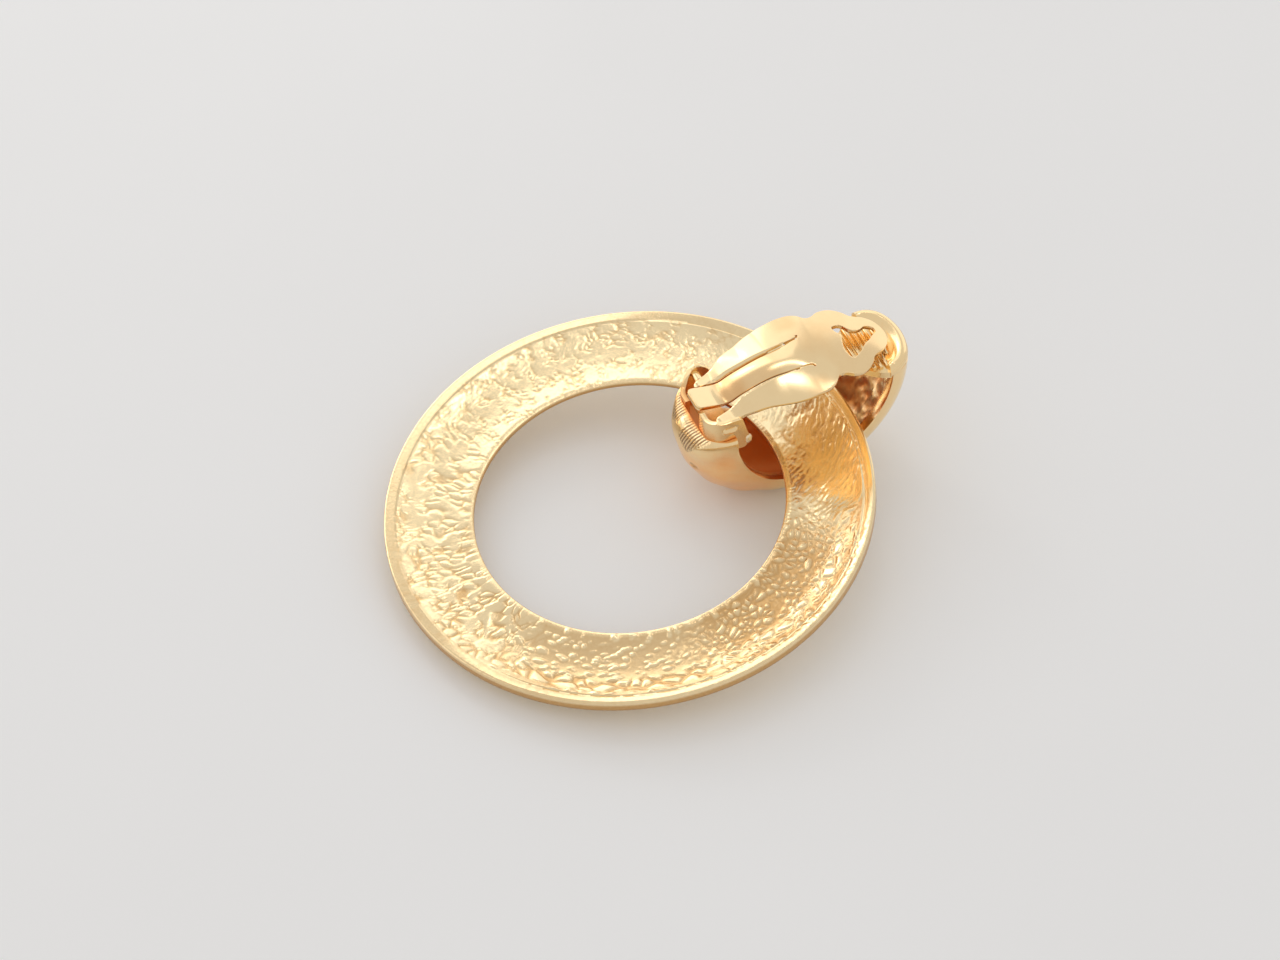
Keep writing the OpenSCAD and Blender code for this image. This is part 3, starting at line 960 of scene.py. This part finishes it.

# %% [markdown]
# ## Finishes: shared effects
# Two effects are used by several finishes, so each is a node group: a fine cast grain that gives a
# height for bump, and a tone that paints shade and reflection where a mark asks for it, deeper and
# redder than raised places, as plating looks where light bounces between two gold faces. Small
# helpers place a node and feed it.


# %% Node groups
def new_group(name, ins, outs):
    group = bpy.data.node_groups.new(name, "ShaderNodeTree")
    for label, kind, value in ins:
        socket = group.interface.new_socket(label, in_out="INPUT", socket_type=kind)
        if value is not None:
            socket.default_value = value
    for label, kind in outs:
        group.interface.new_socket(label, in_out="OUTPUT", socket_type=kind)
    return group, group.nodes.new("NodeGroupInput"), group.nodes.new("NodeGroupOutput")


def feed(node, **inputs):
    """Sets each named input, with _ for a space in its name, or wires an output to it."""
    for name, value in inputs.items():
        socket = node.inputs[name.replace("_", " ")]
        if isinstance(value, bpy.types.NodeSocket):
            node.id_data.links.new(value, socket)
        else:
            socket.default_value = value
    return node


def add(tree, kind, options=(), **inputs):
    """Places a node with its options and feeds it."""
    node = tree.nodes.new(kind)
    for option, value in dict(options).items():
        setattr(node, option, value)
    return feed(node, **inputs)


def math_node(tree, operation, *values, clamp=False):
    """A Math node; each value is a number to set or an output to wire."""
    node = add(tree, "ShaderNodeMath", {"operation": operation, "use_clamp": clamp})
    for socket, value in zip(node.inputs, values):
        if isinstance(value, (int, float)):
            socket.default_value = value
        else:
            tree.links.new(value, socket)
    return node.outputs[0]


def mix_colours(tree, factor, a, b):
    return add(tree, "ShaderNodeMix", {"data_type": "RGBA"}, Factor=factor, A=a, B=b).outputs["Result"]


NUMBER, COLOUR, PLACE = "NodeSocketFloat", "NodeSocketColor", "NodeSocketVector"
grain_group, start, end = new_group(
    "cast_grain",
    [("Place", PLACE, None), ("Size mm", NUMBER, 0.5), ("Depth", NUMBER, 0.5)],
    [("Height", NUMBER), ("Spots", NUMBER)],
)
given = start.outputs
scale = math_node(grain_group, "DIVIDE", 1000.0, given["Size mm"])
coarse = add(
    grain_group, "ShaderNodeTexNoise", Vector=given["Place"], Scale=scale, Detail=5, Roughness=0.6
).outputs["Fac"]
feed(end, Height=math_node(grain_group, "MULTIPLY", coarse, given["Depth"]), Spots=coarse)

tone_group, start, end = new_group(
    "gilt_tone",
    [("Raised", COLOUR, (1, 0.8, 0.45, 1)), ("Deep", COLOUR, (0.8, 0.4, 0.12, 1)),
     ("Hollow", NUMBER, 0.0), ("Spots", NUMBER, 0.5), ("Variation", NUMBER, 0.1)],
    [("Colour", COLOUR)],
)
given = start.outputs
off_middle = math_node(tone_group, "SUBTRACT", given["Spots"], 0.5)
spread = math_node(tone_group, "MULTIPLY", off_middle, given["Variation"])
# Painted shade and reflection: the marked amount, with a little random spread, mixes towards the deep tone
amount = math_node(tone_group, "ADD", given["Hollow"], spread, clamp=True)
feed(end, Colour=mix_colours(tone_group, amount, given["Raised"], given["Deep"]))
print("node groups:", [g.name for g in bpy.data.node_groups])

# %% [markdown]
# ## Finishes: chased lines
# The chased fields are cut with parallel grooves a third of a millimetre apart, and the grooves are
# darker. Real grooves would need ten times the points, so a wave pattern bends the normal and
# darkens the tone, only where the points are marked as a field. The pit is dark the same way.

# %% Chased lines
WAVE_SPAN, CHASED_PITCH, CHASED_TURN = 0.314, 0.33 * MM, math.radians(-20)
GROOVE_TONE = (0.32, 0.17, 0.085, 1)


def marked(tree, name):
    return add(tree, "ShaderNodeAttribute", {"attribute_name": name}).outputs["Fac"]


def chase(tree, place, colour):
    """The colour, darkened in the grooves of the marked fields, and the normal bent by them."""
    field = marked(tree, "hatch")
    turned = add(tree, "ShaderNodeMapping", Vector=place, Rotation=(0, CHASED_TURN, 0))
    lines = add(
        tree, "ShaderNodeTexWave", {"wave_type": "BANDS", "bands_direction": "X"},
        Vector=turned.outputs["Vector"], Scale=WAVE_SPAN / CHASED_PITCH, Distortion=0.5,
    ).outputs["Fac"]
    groove = math_node(tree, "SUBTRACT", 1.0, lines)
    groove_dark = math_node(tree, "MULTIPLY", math_node(tree, "MULTIPLY", field, 0.95), groove)
    cut = math_node(tree, "MULTIPLY", lines, field)
    graving = add(tree, "ShaderNodeBump", Strength=1.0, Distance=0.06 * MM, Height=cut)
    return mix_colours(tree, groove_dark, colour, GROOVE_TONE), graving.outputs["Normal"]


print("lines across a field 3 mm wide:", round(3 * MM / CHASED_PITCH))

# %% [markdown]
# ## Finishes: gilt metals
# All pieces are plated in pale gold. The castings are satin with a fine grain, the clip is bright
# with a slight haze, and the bracket is duller plate. They are metal throughout, with painted shade
# and reflection in their marked places. Only where that painted shade is deepest is a part of the
# light scattered, and on the raw casting inside the grip end, which is also rougher.


# %% Gilt materials
def gilt(name, raised, deep, rough, grain, bump, scatter=0.3, chased=False):
    """A gilt finish: two tones, (roughness, its spread), (size of the grain in mm, its depth)."""
    mat = bpy.data.materials.new(name)
    mat.use_nodes = True
    tree = mat.node_tree
    place = add(tree, "ShaderNodeTexCoord").outputs["Object"]
    painted_shade, raw = marked(tree, "painted_shade"), marked(tree, "raw")
    cast = add(
        tree, "ShaderNodeGroup", {"node_tree": grain_group},
        Place=place, Size_mm=grain[0], Depth=grain[1],
    ).outputs
    colour = add(
        tree, "ShaderNodeGroup", {"node_tree": tone_group}, Raised=(*raised, 1), Deep=(*deep, 1),
        Hollow=painted_shade, Spots=cast["Spots"], Variation=0.35,
    ).outputs["Colour"]
    # Painted shade: where it is deepest, part of the light is scattered instead of mirrored
    shade_scatter = math_node(tree, "MULTIPLY", math_node(tree, "POWER", painted_shade, 4.0), scatter)
    matt = math_node(tree, "MULTIPLY", raw, 0.55)
    metal = math_node(tree, "SUBTRACT", 1.0, math_node(tree, "MAXIMUM", shade_scatter, matt))
    even = math_node(tree, "MULTIPLY_ADD", cast["Spots"], rough[1], rough[0] - rough[1] / 2)
    dulled = math_node(tree, "MULTIPLY_ADD", painted_shade, 0.14, even)
    rougher = math_node(tree, "MULTIPLY_ADD", raw, 0.25, dulled)
    bumps = add(tree, "ShaderNodeBump", Strength=bump, Distance=0.1 * MM, Height=cast["Height"])
    if chased:
        colour, grooved = chase(tree, place, colour)
        feed(bumps, Normal=grooved)
    feed(
        tree.nodes["Principled BSDF"], Base_Color=colour, Metallic=metal, Roughness=rougher,
        Normal=bumps.outputs["Normal"],
    )
    return mat


# The deep tones are the colours of painted shade and reflection
finishes = {
    large_hoop: gilt(
        "gilt_hammered", raised=(0.95, 0.76, 0.455), deep=(0.63, 0.36, 0.13), rough=(0.18, 0.06),
        grain=(0.35, 0.9), bump=0.12,
    ),
    half_hoop: gilt(
        "gilt_casting", raised=(0.97, 0.73, 0.40), deep=(1.0, 0.36, 0.07), rough=(0.17, 0.08),
        grain=(0.6, 0.5), bump=0.15, scatter=0.8, chased=True,
    ),
    hinge_bracket: gilt(
        "gilt_bracket", raised=(0.93, 0.69, 0.37), deep=(0.88, 0.36, 0.09), rough=(0.19, 0.10),
        grain=(0.8, 0.4), bump=0.12,
    ),
    solder_bead: gilt(
        "soft_solder", raised=(0.93, 0.76, 0.50), deep=(0.8, 0.6, 0.36), rough=(0.28, 0.1),
        grain=(0.5, 0.4), bump=0.1,
    ),
    clip_paddle: gilt(
        "gilt_clip", raised=(0.97, 0.74, 0.42), deep=(0.72, 0.36, 0.12), rough=(0.14, 0.05),
        grain=(2.5, 0.3), bump=0.04,
    ),
}
for piece, mat in finishes.items():
    piece.data.materials.append(mat)
# The solids that the pieces stand for get the finish of the casting
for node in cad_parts.values():
    node.data.materials.clear()
    node.data.materials.append(finishes[half_hoop])
print("finishes:", [m.name for m in finishes.values()])

# %% [markdown]
# ## Floor
# The earring lies on pale, slightly warm paper. Its finish is nearly matt with a faint mottle.

# %% Floor
ground = bmesh.new()
bmesh.ops.create_grid(ground, x_segments=1, y_segments=1, size=3.0)
mesh = bpy.data.meshes.new("table")
ground.to_mesh(mesh)
ground.free()
table = bpy.data.objects.new("table", mesh)
bpy.context.scene.collection.objects.link(table)
paper = bpy.data.materials.new("pale_paper")
paper.use_nodes = True
tree = paper.node_tree
place = add(tree, "ShaderNodeTexCoord").outputs["Object"]
mottle = add(tree, "ShaderNodeTexNoise", Vector=place, Scale=30).outputs["Fac"]
tint = mix_colours(tree, mottle, (0.94, 0.935, 0.93, 1), (0.96, 0.955, 0.95, 1))
feed(tree.nodes["Principled BSDF"], Base_Color=tint, Roughness=0.8)
mesh.materials.append(paper)
print("table laid")

# %% [markdown]
# ## Light
# Polished metal shows what is round it, so it gets a small tent: near, bright walls at the back and
# the left, and softboxes above. What leans towards the walls turns pale yellow, and what looks up
# turns tan. Only the metal mirrors the walls; the table is lit by the room and the softboxes.


# %% Light
RIGHT = Vector((math.cos(math.radians(66)), math.sin(math.radians(66)), 0))
AWAY = Vector((-RIGHT.y, RIGHT.x, 0))


def panel(name, right, away, up, size, radiance, facing):
    """A soft panel beside the object, as bright as asked; places in metres as the picture sees them."""
    light = bpy.data.lights.new(name, "AREA")
    light.shape = "RECTANGLE"
    light.size, light.size_y = size
    light.energy = radiance * math.pi * size[0] * size[1]
    lamp = bpy.data.objects.new(name, light)
    lamp.location = RIGHT * right + AWAY * away + Vector((0, 0, up))
    lamp.rotation_mode = "QUATERNION"
    way = RIGHT * facing[0] + AWAY * facing[1] + Vector((0, 0, facing[2]))
    lamp.rotation_quaternion = way.to_track_quat("-Z", "Y")
    lamp.visible_camera = False
    lamp.visible_diffuse = facing[2] < 0
    bpy.context.scene.collection.objects.link(lamp)


panel("back_wall", -0.136, 0.085, 0.058, (0.248, 0.115), 1.15, (0, -1, 0))
panel("back_strip", -0.001, 0.085, 0.061, (0.022, 0.122), 0.45, (0, -1, 0))
panel("right_wall", 0.065, 0.085, 0.041, (0.11, 0.078), 0.42, (0, -1, 0))
panel("left_wall", -0.13, 0.02, 0.066, (0.18, 0.13), 0.4, (1, 0, 0))
panel("ceiling", 0.03, 0.09, 0.235, (0.11, 0.06), 0.25, (0, -0.3, -1))
panel("softbox", -0.005, 0.097, 0.23, (0.035, 0.035), 2.2, (0, -0.4, -1))
panel("back_lamp", -0.12, 0.18, 0.14, (0.05, 0.05), 2.2, (0.12, -0.18, -0.14))
world = bpy.data.worlds.new("pale_room")
bpy.context.scene.world = world
world.use_nodes = True
feed(world.node_tree.nodes["Background"], Color=(1.0, 0.99, 0.98, 1), Strength=0.74)
bpy.context.scene.view_settings.view_transform = "Standard"

# %% [markdown]
# ## Camera
# The camera looks down at 48 degrees from half a metre, with a long lens, from the side where the
# clip points to the upper right. The lens is worked out from its length in pixels of the picture.

# %% Camera
AZIMUTH, ELEVATION, DISTANCE = math.radians(66), math.radians(48.17), 0.5
LOOK_AT = Vector((-0.006904, 0.000871, 0))
LENS_PX, PICTURE_PX, SENSOR_MM = 4852, 1280, 36
level = math.cos(ELEVATION)
back = Vector((math.sin(AZIMUTH) * level, -math.cos(AZIMUTH) * level, math.sin(ELEVATION)))
camera_data = bpy.data.cameras.new("camera")
camera_data.sensor_width = SENSOR_MM
camera_data.lens = LENS_PX / PICTURE_PX * SENSOR_MM
camera_data.clip_start, camera_data.clip_end = 0.01, 20
camera = bpy.data.objects.new("camera", camera_data)
camera.location = LOOK_AT + back * DISTANCE
camera.rotation_mode = "QUATERNION"
camera.rotation_quaternion = (-back).to_track_quat("-Z", "Y")
bpy.context.scene.collection.objects.link(camera)
bpy.context.scene.camera = camera
print("camera at", [round(x, 4) for x in camera.location])
